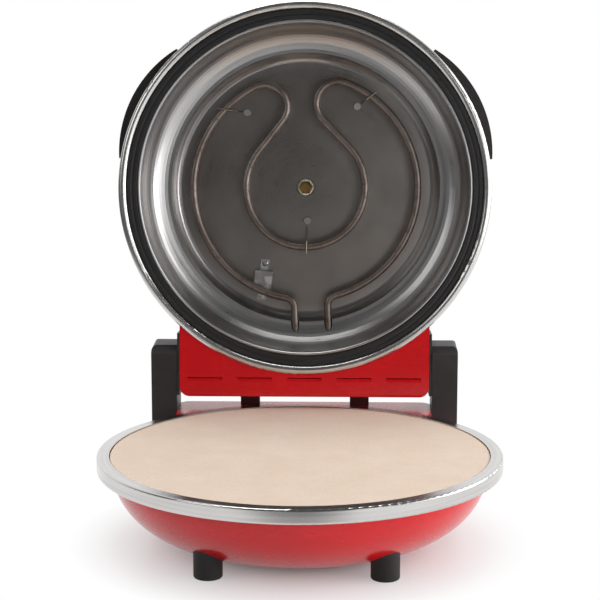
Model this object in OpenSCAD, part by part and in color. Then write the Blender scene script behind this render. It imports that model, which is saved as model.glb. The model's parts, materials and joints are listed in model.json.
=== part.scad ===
// Countertop pizza oven with a hinged lid, shown open: bowl with a baking stone below,
// dome with a radiant element above. All lengths are in millimetres.
// The z = 0 plane of every drawing module is the top of the base ring, x = y = 0 is the bowl's axis.

/* [Rims] */
// Outer radius of both rings
ring_r = 174; // [160:1:190]
// Height of each ring's band
ring_h = 12.4; // [9:0.1:14]
// Width of the base ring's flat top
base_ring_w = 10.6; // [9:0.1:14]
// Width of the lid ring's face
lid_ring_w = 7.5; // [6:0.1:10]
// Radius of each ring's rounded outer edges
ring_edge = 1.6; // [1.2:0.1:3]
// Height of the lid ring's crowned face
ring_crown = 2.4; // [1:0.1:3]
// Sheet thickness of the rings
ring_t = 0.8; // [0.5:0.1:1.2]
// Height of the base ring's top above the table
rim_height = 78; // [74:1:95]

/* [Bowl and dome] */
// Distance of the bowl's wall from the rings' outer edge
bowl_inset = 13.8; // [12:0.1:24]
// Distance of the bowl's flat middle from its wall
bowl_round = 66.2; // [55:0.1:90]
// Depth of the bowl's shoulder below the ring's top
shoulder_z = 16.6; // [14:0.1:20]
// Depth of the bowl below the ring's top
bowl_depth = 70.7; // [62:0.1:78]
// Fullness of the bowl's curve, 2 for an ellipse
bowl_power = 1.8; // [1.6:0.01:2.2]
// Sheet thickness of the bowl and dome
shell_t = 1.2; // [0.8:0.1:2]
// Width of the flange on which each ring sits
flange_w = 8; // [6:0.5:9]

/* [Stone and tray] */
// Thickness of the baking stone
stone_t = 11; // [8:0.5:11.4]
// Gap around the stone
stone_gap = 0.5; // [0.4:0.1:2]
// Rounding of the stone's top edge
stone_edge = 1.2; // [0.5:0.1:2]
// Distance between the bowl's wall and the tray's wall
tray_inset = 9.2; // [7:0.1:15]
// Distance of the tray's floor from its wall
tray_round = 13; // [8:1:20]
// Depth of the tray's floor below the ring's top
tray_depth = 38; // [36:1:42]
// Sheet thickness of the tray and the reflector
liner_t = 0.8; // [0.5:0.1:1]

/* [Lower element] */
// Diameter of the lower heating tube
low_tube_d = 6.5; // [5:0.1:8]
// Distance of the lower heating loop from the edge of the tray's floor
low_loop_inset = 33; // [25:1:40]
// Height of the lower tube's middle above the tray's floor
low_tube_lift = 10; // [8:0.5:12]
// Distance between the two ends of each element
end_gap = 31.6; // [28:0.1:40]

/* [Upper element] */
// Diameter of the upper heating tube
tube_d = 6.8; // [6:0.1:8]
// Distance of the outer loop from the edge of the reflector's flat
outer_loop_inset = 12.5; // [11:0.5:15]
// Radius of the inner loop as a share of the outer loop's
inner_loop_share = 0.5305; // [0.5:0.0005:0.54]
// Radius of the two hairpin bends as a share of the outer loop's
hairpin_share = 0.1972; // [0.18:0.0001:0.205]
// Distance between the two hairpins
hairpin_gap = 27.6; // [25:0.1:32]
// Radius of the bends before the tube's ends
end_bend_r = 10; // [9:0.5:14]
// Height of the tube's middle above the reflector's flat
tube_lift = 15; // [13:0.5:16]
// Small turn of the whole element in the lid
element_turn = 2.8; // [0:0.1:4]

/* [Reflector] */
// Distance of the reflector's curled lip from the ring's outer edge
lip_inset = 20.6; // [18:0.1:22]
// Distance of the crease between the reflector's two steps from its lip
crease_inset = 25.9; // [24:0.1:30]
// Distance of the crease from the reflector's flat, towards the lid's rim
crease_rise = 17; // [15:0.5:20]
// Distance of the edge of the reflector's flat from the crease
disc_inset = 8.5; // [6:0.5:10]
// Space between the reflector's flat and the top of the dome
dome_space = 18.7; // [17:0.1:22]
// Diameter of the hole for the heat sensor
sensor_hole_d = 17; // [15:0.5:20]

/* [Feet] */
// Diameter of a foot
foot_d = 24; // [20:0.5:28]
// Distance of the feet from the middle, sideways
foot_x = 72; // [66:1:78]
// Distance of the feet from the middle, front to back
foot_y = 105; // [100:1:112]
// Diameter of a foot screw
foot_screw_d = 4; // [3:0.5:5]

/* [Rear housings] */
// Width of the rear housings
housing_w = 239.4; // [220:0.2:244]
// Distance of the housings' rear faces behind the hinge axis
housing_behind = 16.9; // [15:0.1:20]
// Drop of the base housing's top below the ring's top
base_housing_drop = 3.5; // [3:0.1:6]
// Depth of the base housing's lower edge below the ring's top
base_housing_depth = 48; // [44:1:52]
// Wall thickness of the housings
housing_t = 2.2; // [1.6:0.1:3]
// Radius of the housings' rear corners
housing_corner = 10; // [6:0.5:12]
// Height of the lid housing's lower face above the base ring, lid closed
lid_housing_low = 4.5; // [4:0.1:6]
// Height of the lid housing's upper face above the base ring, lid closed
lid_housing_high = 46; // [44:0.5:50]
// Rounding of the lid housing's lower rear edge
lid_housing_round = 3; // [2:0.5:5]
// Number of pressed louvres
louvre_count = 5; // [3:1:5]
// Distance between neighbouring louvres
louvre_pitch = 46.7; // [40:0.1:47]
// Length of a louvre
louvre_l = 32.6; // [26:0.1:36]
// Width of a louvre
louvre_w = 3.5; // [3:0.1:7]
// Distance of the louvres from the lid housing's rear face
louvre_inset = 16.4; // [14:0.1:20]

/* [Hinge] */
// Distance of the hinge axis behind the rings
hinge_gap = 5.1; // [4:0.1:8]
// Height of the hinge axis above the base ring
hinge_z = 25; // [24.8:0.1:27]
// Angle by which the lid opens
open_angle = 95.5; // [94:0.5:98]
// Diameter of a hinge pin
pin_d = 8; // [6:0.5:10]
// Gap between a hinge pin and its bore, on the radius
pin_fit = 0.06; // [0.03:0.01:0.1]
// Thickness of a hinge arm
arm_t = 24; // [20:0.5:28]
// How far the hinge arms reach in front of the hinge axis
arm_before = 20.1; // [17:0.1:24]
// How far the hinge arms reach behind the hinge axis
arm_behind = 21.9; // [20:0.1:26]
// Height of the hinge arms above the base ring
arm_top = 58; // [50:0.5:64]
// Wall thickness of the hinge arms
arm_wall = 3; // [2:0.1:4]
// Bevel along the arms' top front edge
arm_bevel = 7; // [4:0.5:10]
// Rounding of the arms' outer top corner
arm_round = 5; // [3:0.5:8]
// Width of a stop block
stop_w = 18; // [14:0.5:22]
// Distance of each stop block from the middle
stop_x = 52; // [40:1:60]
// Depth of a stop block from front to back
stop_depth = 11; // [8:0.5:12]

/* [Grips] */
// How far a grip stands out of the lid's ring
grip_out = 10; // [6:0.5:16]
// Direction of a grip, from the side towards the front
grip_dir = 28; // [24:1:32]
// Half of the angle that a grip spans
grip_span = 19; // [16:0.5:22]
// Distance of the grip's own centre of curvature from the dome's axis
grip_offset = 70; // [60:1:80]
// Thickness of the grip's bar
grip_bar = 12; // [9:0.5:14]
// Height of the grip's lower face above the base ring, lid closed
grip_low = 24; // [20:0.5:28]
// Height of a grip
grip_h = 22; // [18:0.5:26]

/* [Controls] */
// Diameter of the thermostat knob
knob_d = 44; // [36:1:50]
// Height of the thermostat knob
knob_h = 17; // [14:0.5:22]
// Diameter of the dial plate
dial_d = 84; // [70:1:96]
// Thickness of the dial plate
dial_t = 1; // [0.6:0.1:2]
// Diameter of the thermostat's spindle
spindle_d = 6; // [5:0.5:8]
// Turn of the thermostat knob
knob_turn = 270; // [180:10:300]
// Angle between the knob's pointer, when off, and the lid's front edge
knob_off = 45; // [0:5:90]
// Diameter of the pilot lamp's lens
lamp_d = 9; // [6:0.5:12]
// Distance of the pilot lamp from the knob's middle
lamp_offset = 33; // [30:0.5:36]

/* [Hidden] */
$fn = 96;

// Clearances
seat_gap = 0.3;                         // between pieces that stand next to each other
rim_gap = 0.5;                          // between the two rims when the lid is closed
screw_fit = 0.2;                        // around a screw, on the diameter
ball_extra = 0.1;                       // balls at a tube's joins are a hair larger than the tube
lead_bend = 0.8;                        // middle radius of a lead's bends, in lead diameters
cut = 1;                                // by how much a cutter passes what it cuts
through = 40;                           // length of a cutter that passes through a wall

// Radii
bowl_r = ring_r - bowl_inset;
bowl_flat_r = bowl_r - bowl_round;
tray_r = bowl_r - tray_inset;
tray_floor_r = tray_r - tray_round;
low_loop_r = tray_floor_r - low_loop_inset;
lip_r = ring_r - lip_inset;
crease_r = lip_r - crease_inset;
disc_r = crease_r - disc_inset;
outer_loop_r = disc_r - outer_loop_inset;
inner_loop_r = outer_loop_r * inner_loop_share;
hairpin_r = outer_loop_r * hairpin_share;
grip_r = ring_r + grip_out;

// Heights, measured up from the base ring's top or from the lid's rim
disc_depth = bowl_depth - dome_space;
crease_depth = disc_depth - crease_rise;
seat_depth = ring_h - liner_t;          // where the stone lies
ring_lip = 3;                           // inner edge of a ring, turned inwards
lip_round = 1.4;                        // radius of the reflector's curled lip
lip_depth = 1;                          // the lip stays behind the lid's rim
tube_z = disc_depth - tube_lift;        // middle of the upper tube
low_tube_z = tray_depth - liner_t - low_tube_lift;
knob_z = bowl_depth + dial_t + rim_gap; // lower face of the knob, above the dome's rim
table_z = -rim_height;                  // the table under the feet

// Lengths from front to back
hinge_y = ring_r + hinge_gap;
housing_y = hinge_y + housing_behind;
housing_front = hinge_y - 79.1;         // the housings reach forward to the bowl
arm_front = hinge_y - arm_before;
arm_back = hinge_y + arm_behind;

// Widths
cheek_t = 2.2;                          // hinge cheek on the lid housing's side
arm_in = housing_w / 2 + seat_gap;      // inner face of a hinge arm
arm_out = arm_in + arm_t;               // outer face of a hinge arm
arm_cover_t = 2;                        // plate that closes an arm
lid_panel_w = housing_w - 2 * (cheek_t + screw_fit);
liner_flange_r = ring_r - base_ring_w - seat_gap;
reflector_flange_r = ring_r - lid_ring_w - seat_gap;
cover_t = 2;                            // plates that close the two housings

// The open lid's rearmost point is the knob, and the frame's origin is midway
rear_reach = hinge_y - (knob_d / 2 + hinge_y) * cos(open_angle)
           + (rim_gap + knob_z + knob_h - hinge_z) * sin(open_angle);
origin_y = (ring_r - rear_reach) / 2;

// ---------- placing ----------
module in_base() translate([0, origin_y, rim_height]) children();

// The lid's frame is that of the base while the lid is closed
module swing_open() {
  translate([0, hinge_y, hinge_z])
    rotate([-open_angle, 0, 0])
      translate([0, -hinge_y, -hinge_z])
        children();
}

module in_lid() in_base() swing_open() children();

// Heights in the dome are measured from its own rim
module in_dome() in_lid() translate([0, 0, rim_gap]) children();

module both_sides() {
  children();
  mirror([1, 0, 0]) children();
}

// Along +x from the given point
module along_x(at) translate(at) rotate([0, 90, 0]) children();

// Along +y from the given point
module along_y(at) translate(at) rotate([-90, 0, 0]) children();

// ---------- shared shapes ----------
// Quarter of a superellipse that leaves r0, z0 upright and reaches r1, z1 level
function curve(r0, r1, z0, z1, power, steps) = [
  for (i = [0:steps])
    let (a = 90 * i / steps)
    [r1 + (r0 - r1) * pow(cos(a), 2 / power), z0 + (z1 - z0) * pow(sin(a), 2 / power)]
];

function reversed(list) = [for (i = [len(list) - 1:-1:0]) list[i]];

module rod(a, b, d) {
  v = b - a;
  translate(a)
    rotate([0, acos(v.z / norm(v)), atan2(v.y, v.x)])
      cylinder(d = d, h = norm(v));
}

// Bent wire through a list of points
module wire(points, d) {
  for (i = [0:len(points) - 2]) rod(points[i], points[i + 1], d);
  for (i = [1:len(points) - 2]) translate(points[i]) sphere(d = d + ball_extra);
}

// Part of a tube bent round a middle point, from angle a0 to angle a1; its ends stop a hair
// short and balls, at the angles in joins, join them to what follows
module bend(middle, r, a0, a1, d, joins) {
  short = 0.04 / r * 180 / PI;
  translate([middle.x, middle.y, 0]) {
    rotate([0, 0, a0 + short])
      rotate_extrude(angle = a1 - a0 - 2 * short)
        translate([r, 0])
          circle(d = d);
    for (a = joins) rotate([0, 0, a]) translate([r, 0, 0]) sphere(d = d + ball_extra);
  }
}

function unit(v) = v / norm(v);

// How sharply a line of points turns at point i, and how far a bend there reaches along it
function turn_at(points, i) =
  180 - acos(unit(points[i - 1] - points[i]) * unit(points[i + 1] - points[i]));
function reach_at(points, i, r) =
  i == 0 || i == len(points) - 1 ? 0 : r * tan(turn_at(points, i) / 2);

// Soft lead through a list of points, with rounded bends
module lead(points, d) {
  r = lead_bend * d;
  for (i = [0:len(points) - 2]) {
    along = unit(points[i + 1] - points[i]);
    rod(points[i] + along * reach_at(points, i, r),
        points[i + 1] - along * reach_at(points, i + 1, r), d);
  }
  for (i = [1:len(points) - 2]) {
    before = unit(points[i - 1] - points[i]);
    after = unit(points[i + 1] - points[i]);
    half = turn_at(points, i) / 2;
    x = -unit(before + after);
    z = unit(cross(after, before));
    y = cross(z, x);
    middle = points[i] - x * r / cos(half);
    multmatrix([[x.x, y.x, z.x, middle.x], [x.y, y.y, z.y, middle.y], [x.z, y.z, z.z, middle.z]])
      bend([0, 0], r, -half, half, d, [-half, half]);
  }
}

// Screw along +z with its head at the origin's lower side
module screw(d, length) {
  cylinder(d = d, h = length);
  difference() {
    translate([0, 0, -0.6 * d]) cylinder(d = 1.9 * d, h = 0.6 * d);
    for (a = [0, 90])
      rotate([0, 0, a])
        translate([-0.7 * d, -0.12 * d, -0.6 * d - cut]) cube([1.4 * d, 0.24 * d, 0.3 * d + cut]);
  }
}

// Sheet shell of the bowl and the dome, its rim at z = 0 and its depth along +z
module shell_section() {
  polygon(concat(
    [[bowl_r - shell_t, ring_h], [bowl_r + flange_w, ring_h],
     [bowl_r + flange_w, ring_h + shell_t], [bowl_r, ring_h + shell_t]],
    curve(bowl_r, bowl_flat_r, shoulder_z, bowl_depth, bowl_power, 24),
    [[0, bowl_depth], [0, bowl_depth - shell_t]],
    reversed(curve(bowl_r - shell_t, bowl_flat_r, shoulder_z, bowl_depth - shell_t, bowl_power, 24))
  ));
}

// Everything that a ring and its shell fill, widened by a gap
module shell_body(gap) {
  rotate_extrude()
    polygon(concat(
      [[0, -gap], [ring_r + gap, -gap], [ring_r + gap, ring_h + shell_t + gap],
       [bowl_r + gap, ring_h + shell_t + gap]],
      curve(bowl_r + gap, bowl_flat_r + gap, shoulder_z, bowl_depth + gap, bowl_power, 24),
      [[0, bowl_depth + gap]]
    ));
}

// Section of the base's ring, drawn in by inset
module band(w, inset) {
  r = ring_edge - inset;
  translate([ring_r - w + inset, inset]) square([w - ring_edge - inset, ring_h - 2 * inset]);
  translate([ring_r - ring_edge - 0.01, ring_edge]) square([r + 0.01, ring_h - 2 * ring_edge]);
  for (z = [ring_edge, ring_h - ring_edge])
    translate([ring_r - ring_edge, z]) circle(r = r);
}

// Section of the lid's ring, drawn in by inset, with a crowned face
module crowned_band(w, inset) {
  mid = ring_r - w / 2;
  bow_r = (pow(w / 2, 2) + pow(ring_crown, 2)) / (2 * ring_crown);
  intersection() {
    translate([ring_r - w + inset, inset]) square([w - 2 * inset, ring_h - 2 * inset]);
    union() {
      translate([mid, bow_r]) circle(r = bow_r - inset);
      translate([ring_r - w, bow_r]) square([w, ring_h]);
    }
  }
}

// Ring of bent sheet from the children's outer and inner sections, its face at z = 0
module rim_ring(w) {
  rotate_extrude()
    difference() {
      children(0);
      children(1);
      translate([ring_r - w - cut, ring_lip]) square([2 * cut + ring_t, ring_h - ring_lip - ring_t]);
    }
}

// Plan of a rear housing, with rounded rear corners
module housing_plan(w, inset) {
  r = housing_corner - inset;
  half = w / 2 - inset;
  back = housing_y - inset;
  translate([-half, housing_front]) square([2 * half, back - r - housing_front]);
  translate([r - half, housing_front]) square([2 * (half - r), back - housing_front]);
  for (s = [-1, 1])
    translate([s * (half - r), back - r]) circle(r = r);
}

// ---------- base ----------
module base_housing_outside() {
  translate([0, 0, -base_housing_depth])
    linear_extrude(base_housing_depth - base_housing_drop)
      housing_plan(housing_w, 0);
}

foot_screw_z = -rim_height + 3;         // heads lie inside the feet
terminal_y = housing_y - 14;            // middle of the terminal block
terminal_size = [40, 16, 14];
gland_x = -60;
gland_z = -base_housing_depth / 2 - 2;
gland_bore_d = 7.2;
gland_neck_d = 12;
cover_z = -base_housing_depth + cover_t;
cover_screw_x = housing_w / 2 - 15.7;
cover_screw_y = [hinge_y - 31.1, hinge_y - 11.1];
cover_screw_d = 3;
cover_screw_l = 12;
lead_d = 4.4;                           // bundle of leads
arm_lead_y = hinge_y + 3.9;             // where the leads enter the left arm
arm_lead_z = -26;
earth_x = 34;
arm_screw_y = hinge_y - 7.1;
arm_screw_z = [-16, -37];
arm_screw_d = 4;

module base_shell() {
  color("firebrick")
    in_base()
      difference() {
        mirror([0, 0, 1]) rotate_extrude() shell_section();
        both_sides()
          along_y([end_gap / 2, tray_floor_r, -low_tube_z]) cylinder(d = low_bush_d - 2, h = through);
        feet_at() cylinder(d = foot_screw_d + screw_fit, h = 3 * rim_height, center = true);
      }
}

module base_rim_ring() {
  color("silver")
    in_base()
      mirror([0, 0, 1])
        rim_ring(base_ring_w) {
          band(base_ring_w, 0);
          band(base_ring_w, ring_t);
        }
}

module tray_section() {
  floor_in = tray_depth - liner_t;
  polygon(concat(
    [[liner_flange_r, seat_depth], [liner_flange_r, ring_h]],
    curve(tray_r, tray_floor_r, ring_h, tray_depth, 3, 12),
    [[0, tray_depth], [0, floor_in]],
    reversed(curve(tray_r - liner_t, tray_floor_r, seat_depth, floor_in, 3, 12))
  ));
}

module heat_tray() {
  color("gainsboro")
    in_base()
      difference() {
        mirror([0, 0, 1]) rotate_extrude() tray_section();
        both_sides()
          along_y([end_gap / 2, tray_floor_r - 8, -low_tube_z])
            cylinder(d = low_bush_d + screw_fit, h = through);
      }
}

module baking_stone() {
  r = ring_r - base_ring_w - stone_gap;
  top = stone_t - seat_depth;
  color("bisque")
    in_base()
      rotate_extrude() {
        translate([0, -seat_depth]) square([r, stone_t - stone_edge]);
        translate([0, -seat_depth]) square([r - stone_edge, stone_t]);
        translate([r - stone_edge, top - stone_edge]) circle(r = stone_edge);
      }
}

// Where the ends of an element leave its loop: middle of the end bend
function end_bend_middle(loop_r) = let (x = end_gap / 2 + end_bend_r)
  [x, sqrt(pow(loop_r + end_bend_r, 2) - x * x)];

low_bend = end_bend_middle(low_loop_r);
low_end_y = tray_r + 6;                 // the tube's ends stand behind the tray
low_bush_d = 14;
low_bush_l = 6;
pin_end_d = 3;                          // terminal pins of both elements
pin_end_l = 9;

module lower_element() {
  turn = atan2(low_bend.y, low_bend.x);
  color("dimgray")
    in_base()
      translate([0, 0, -low_tube_z]) {
        bend([0, 0], low_loop_r, 180 - turn, 360 + turn, low_tube_d, [180 - turn, turn]);
        both_sides() {
          bend(low_bend, end_bend_r, 180, 180 + turn, low_tube_d, [180]);
          along_y([end_gap / 2, low_bend.y, 0])
            cylinder(d = low_tube_d, h = low_end_y - low_bend.y);
          along_y([end_gap / 2, low_end_y - 0.01, 0]) cylinder(d = pin_end_d, h = pin_end_l);
        }
      }
}

module lower_element_bushings() {
  color("lightgray")
    in_base()
      both_sides()
        along_y([end_gap / 2, tray_r - low_bush_l, -low_tube_z])
          difference() {
            cylinder(d = low_bush_d, h = low_bush_l);
            translate([0, 0, -cut]) cylinder(d = low_tube_d + screw_fit, h = low_bush_l + 2 * cut);
          }
}

module lower_element_saddles() {
  color("silver")
    in_base()
      for (a = [30, 150, 270])
        rotate([0, 0, a])
          difference() {
            translate([low_loop_r, 0, liner_t - tray_depth]) cylinder(d = 10, h = low_tube_lift + 1);
            translate([0, 0, -low_tube_z])
              rotate_extrude()
                translate([low_loop_r, 0])
                  circle(d = low_tube_d + screw_fit);
          }
}

// Where a foot stands
module foot_at(sx, sy) translate([sx * foot_x, sy * foot_y, 0]) children();

module feet_at() {
  for (sx = [-1, 1], sy = [-1, 1]) foot_at(sx, sy) children();
}

module foot(sx, sy) {
  color("black")
    in_base()
      difference() {
        foot_at(sx, sy)
          translate([0, 0, table_z])
            rotate_extrude() {
              square([foot_d / 2 - 2, rim_height - ring_h]);
              translate([0, 2]) square([foot_d / 2, rim_height - ring_h - 2]);
              translate([foot_d / 2 - 2, 2]) circle(r = 2);
            }
        mirror([0, 0, 1]) shell_body(0);
        foot_at(sx, sy) {
          translate([0, 0, table_z - cut])
            cylinder(d = 2 * foot_screw_d + 1, h = foot_screw_z - table_z + cut + 3);
          cylinder(d = foot_screw_d + screw_fit, h = 4 * rim_height, center = true);
        }
      }
}

module foot_front_left() foot(-1, -1);
module foot_front_right() foot(1, -1);
module foot_rear_left() foot(-1, 1);
module foot_rear_right() foot(1, 1);

// Screws through the feet, each with its nut inside the bowl
module foot_screws() {
  nut_z = -50;
  color("silver")
    in_base()
      feet_at() {
        translate([0, 0, foot_screw_z + 3]) screw(foot_screw_d, nut_z + 5 - foot_screw_z - 3);
        translate([0, 0, nut_z])
          difference() {
            cylinder(d = 2 * foot_screw_d, h = 3.2, $fn = 6);
            cylinder(d = foot_screw_d - 0.02, h = 20, center = true);
          }
      }
}

// Posts inside the base housing take the cover's screws
module cover_posts() {
  both_sides()
    for (y = cover_screw_y)
      translate([cover_screw_x, y, cover_z])
        cylinder(d = 9, h = -base_housing_drop - housing_t / 2 - cover_z);
}

module base_housing() {
  color("firebrick")
    in_base()
      difference() {
        union() {
          difference() {
            base_housing_outside();
            translate([0, 0, -base_housing_depth - cut])
              linear_extrude(base_housing_depth - base_housing_drop - housing_t + cut)
                housing_plan(housing_w, housing_t);
          }
          cover_posts();
        }
        mirror([0, 0, 1]) shell_body(seat_gap);
        along_y([gland_x, housing_y - 10, gland_z]) cylinder(d = gland_neck_d + screw_fit, h = 20);
        both_sides() {
          for (z = arm_screw_z)
            along_x([housing_w / 2 - 10, arm_screw_y, z])
              cylinder(d = arm_screw_d + screw_fit, h = 20);
          for (y = cover_screw_y)
            translate([cover_screw_x, y, cover_z - cut])
              cylinder(d = cover_screw_d, h = cover_screw_l);
        }
        lead_passage();
      }
}

module base_housing_cover() {
  color("dimgray")
    in_base()
      difference() {
        translate([0, 0, -base_housing_depth])
          linear_extrude(cover_t)
            housing_plan(housing_w, housing_t + seat_gap);
        mirror([0, 0, 1]) shell_body(seat_gap);
        both_sides()
          for (y = cover_screw_y)
            translate([cover_screw_x, y, -base_housing_depth - cut])
              cylinder(d = cover_screw_d + screw_fit, h = cover_t + 2 * cut);
      }
}

module housing_cover_screws() {
  color("silver")
    in_base()
      both_sides()
        for (y = cover_screw_y)
          translate([cover_screw_x, y, -base_housing_depth])
            screw(cover_screw_d - 0.02, cover_screw_l);
}

// Bush for the mains cord
module cord_gland() {
  outer_d = gland_neck_d + 7;
  color("black")
    in_base()
      along_y([gland_x, 0, gland_z])
        difference() {
          union() {
            translate([0, 0, housing_y]) cylinder(d = outer_d, h = 3);
            translate([0, 0, housing_y - housing_t - 3]) cylinder(d = gland_neck_d, h = housing_t + 6);
            translate([0, 0, housing_y - housing_t - 2.5]) cylinder(d = outer_d - 3, h = 2.5);
          }
          translate([0, 0, housing_y - 20]) cylinder(d = gland_bore_d, h = 40);
        }
}

module terminal_block() {
  s = terminal_size;
  color("ivory")
    in_base()
      difference() {
        translate([-s.x / 2, terminal_y - s.y / 2, cover_z]) cube(s);
        for (i = [-1, 0, 1]) {
          translate([i * s.x / 3, terminal_y, cover_z + s.z / 2]) cylinder(d = 5, h = s.z);
          along_y([i * s.x / 3, terminal_y - s.y / 2 - cut, cover_z + s.z / 3])
            cylinder(d = lead_d / 2 + 1, h = 5 + cut);
        }
      }
}

module earth_screw() {
  color("gold")
    in_base()
      translate([earth_x, terminal_y, cover_z]) {
        cylinder(d = 9, h = 1);
        cylinder(d = 7, h = 4, $fn = 6);
        cylinder(d = 4, h = 8);
      }
}

// Way of the leads through the left housing wall and the left arm's cover
module lead_passage() {
  along_x([-arm_in - 5, arm_lead_y, arm_lead_z]) cylinder(d = lead_d + 1.6, h = 20);
}

// Leads to the lower element, and the bundle that climbs the left arm to the hollow hinge pin
module base_leads() {
  block_front = terminal_y - terminal_size.y / 2;
  block_z = cover_z + terminal_size.z / 3;
  y_end = low_end_y + pin_end_l;
  lead_x = -(pin_out_x + lead_d / 2 + 2);
  color("tan")
    in_base() {
      for (s = [-1, 1])
        lead([[s * end_gap / 2, y_end, -low_tube_z], [s * end_gap / 2, y_end + 4, -low_tube_z],
              [s * terminal_size.x / 3, block_front - 1, block_z],
              [s * terminal_size.x / 3, block_front + 4, block_z]], lead_d / 2);
      lead([[-terminal_size.x / 2, terminal_y, block_z], [-terminal_size.x / 2 - 5, terminal_y, block_z],
            [-40, terminal_y, -30],
            [-90, arm_lead_y, arm_lead_z], [lead_x, arm_lead_y, arm_lead_z],
            [lead_x, arm_lead_y, 8], [lead_x, hinge_y, hinge_z],
            [-pin_end_x, hinge_y, hinge_z]], lead_d);
    }
}

// ---------- hinge ----------
pin_bore_d = lead_d + 0.8;              // the pins are hollow, the left one for the leads
pin_end_x = housing_w / 2 - 12;         // inner ends of the hinge pins
arm_inner_x = arm_in + arm_cover_t + 0.1;
pin_seat = 9;                           // length of a pin's seat in its arm
pin_out_x = arm_inner_x + pin_seat;
arm_corner = 8;                         // rounding at the arms' rear corners

// Side view of an arm, along the y and z axes
module arm_side(inset) {
  y0 = arm_front + inset;
  y1 = arm_back - inset;
  z0 = inset - base_housing_depth;
  z1 = arm_top - inset;
  r = arm_corner - inset;
  polygon([[y0, z0], [y1, z0], [y1, z1 - r], [y1 - r, z1], [y0 + arm_bevel, z1], [y0, z1 - arm_bevel]]);
  translate([y1 - r, z1 - r]) circle(r = r);
}

// Extrudes a side view from x0 to x1
module side_plate(x0, x1) {
  translate([x0, 0, 0]) rotate([90, 0, 90]) linear_extrude(x1 - x0) children();
}

module arm_outside() {
  intersection() {
    side_plate(arm_in, arm_out) arm_side(0);
    translate([0, arm_back + cut, 0])
      rotate([90, 0, 0])
        linear_extrude(arm_back - arm_front + 2 * cut) {
          translate([0, -base_housing_depth])
            square([arm_out, arm_top - arm_round + base_housing_depth]);
          square([arm_out - arm_round, arm_top]);
          translate([arm_out - arm_round, arm_top - arm_round]) circle(r = arm_round);
        }
  }
}

// What stays standing inside an arm: a bridge that holds the pin, and two screw bosses
module arm_bosses() {
  half = pin_d / 2 + 5;
  translate([arm_inner_x, arm_front, hinge_z - half])
    cube([pin_seat, arm_back - arm_front, 2 * half]);
  for (z = arm_screw_z)
    along_x([arm_inner_x, arm_screw_y, z])
      cylinder(d = arm_screw_d + 5, h = arm_out - arm_wall / 2 - arm_inner_x);
}

module hinge_arm() {
  color("dimgray")
    difference() {
      arm_outside();
      difference() {
        side_plate(arm_in - cut, arm_out - arm_wall) arm_side(arm_wall);
        arm_bosses();
      }
      along_x([arm_in - cut, hinge_y, hinge_z])
        cylinder(d = pin_d + 2 * pin_fit, h = pin_seat + arm_cover_t + 2 * cut);
      for (z = arm_screw_z)
        along_x([arm_in - cut, arm_screw_y, z]) cylinder(d = arm_screw_d, h = 14 + cut);
    }
}

module hinge_arm_left() in_base() mirror([1, 0, 0]) hinge_arm();
module hinge_arm_right() in_base() hinge_arm();

module arm_cover() {
  difference() {
    side_plate(arm_in, arm_in + arm_cover_t) arm_side(arm_wall + 0.15);
    along_x([arm_in - cut, hinge_y, hinge_z])
      cylinder(d = pin_d + 2 * pin_fit, h = arm_cover_t + 2 * cut);
    for (z = arm_screw_z)
      along_x([arm_in - cut, arm_screw_y, z])
        cylinder(d = arm_screw_d + screw_fit, h = arm_cover_t + 2 * cut);
  }
}

module arm_cover_left() {
  color("black")
    in_base()
      difference() {
        mirror([1, 0, 0]) arm_cover();
        lead_passage();
      }
}

module arm_cover_right() color("black") in_base() arm_cover();

module hinge_pin() {
  color("silver")
    along_x([pin_end_x, hinge_y, hinge_z])
      difference() {
        cylinder(d = pin_d, h = pin_out_x - pin_end_x);
        translate([0, 0, -cut]) cylinder(d = pin_bore_d, h = pin_out_x - pin_end_x + 2 * cut);
      }
}

module hinge_pin_left() in_base() mirror([1, 0, 0]) hinge_pin();
module hinge_pin_right() in_base() hinge_pin();

// Screws from inside the base housing into the arms
module arm_screws() {
  color("silver")
    in_base()
      both_sides()
        for (z = arm_screw_z)
          along_x([housing_w / 2 - housing_t, arm_screw_y, z]) screw(arm_screw_d - 0.02, 14);
}

// ---------- lid ----------
// Radius of the dome's outside at a height above its rim
function dome_r(z) =
  let (s = pow((z - shoulder_z) / (bowl_depth - shoulder_z), bowl_power / 2))
  bowl_flat_r + (bowl_r - bowl_flat_r) * pow(1 - s * s, 1 / bowl_power);

grip_post_z = grip_low + grip_h / 2;
grip_post_angle = grip_span - 3;        // the grips' posts stand near their ends
grip_screw_d = 4;
lid_lead_x = 45;                        // where the thermostat's leads pass the dome's wall
lid_lead_z = 30;
lid_lead_d = 3;
bush_d = 11;
bush_front = crease_r + 15.5;           // front faces of the upper bushings, from the dome's axis
bush_l = 15;
slot_d = tube_d + 2;                    // slots in the reflector for the tube's ends
end_y = lip_r + 4.6;                    // ends of the upper tube
spindle_hole_d = spindle_d + 3;

upper_bend = end_bend_middle(outer_loop_r);
hairpin_x = hairpin_gap / 2 + hairpin_r;
hairpin = [hairpin_x, -sqrt(pow(outer_loop_r - hairpin_r, 2) - hairpin_x * hairpin_x)];

// The element sits a little turned in the dome
module element_place() rotate([0, 0, -element_turn]) children();

// Each hook: its screw's place on the reflector, and where it crosses the tube, as shares of
// the outer loop's radius
HOOK_SHARES = [
  [[-0.526, -0.667], [-0.723, -0.695]],
  [[0.46, -0.723], [0.582, -0.817]],
  [[0.016, 0.3005], [0.0085, 0.5305]]
];
HOOKS = [for (h = HOOK_SHARES) [h[0] * outer_loop_r, h[1] * outer_loop_r]];
hook_d = 1.8;
hook_screw_d = 3.5;

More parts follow.
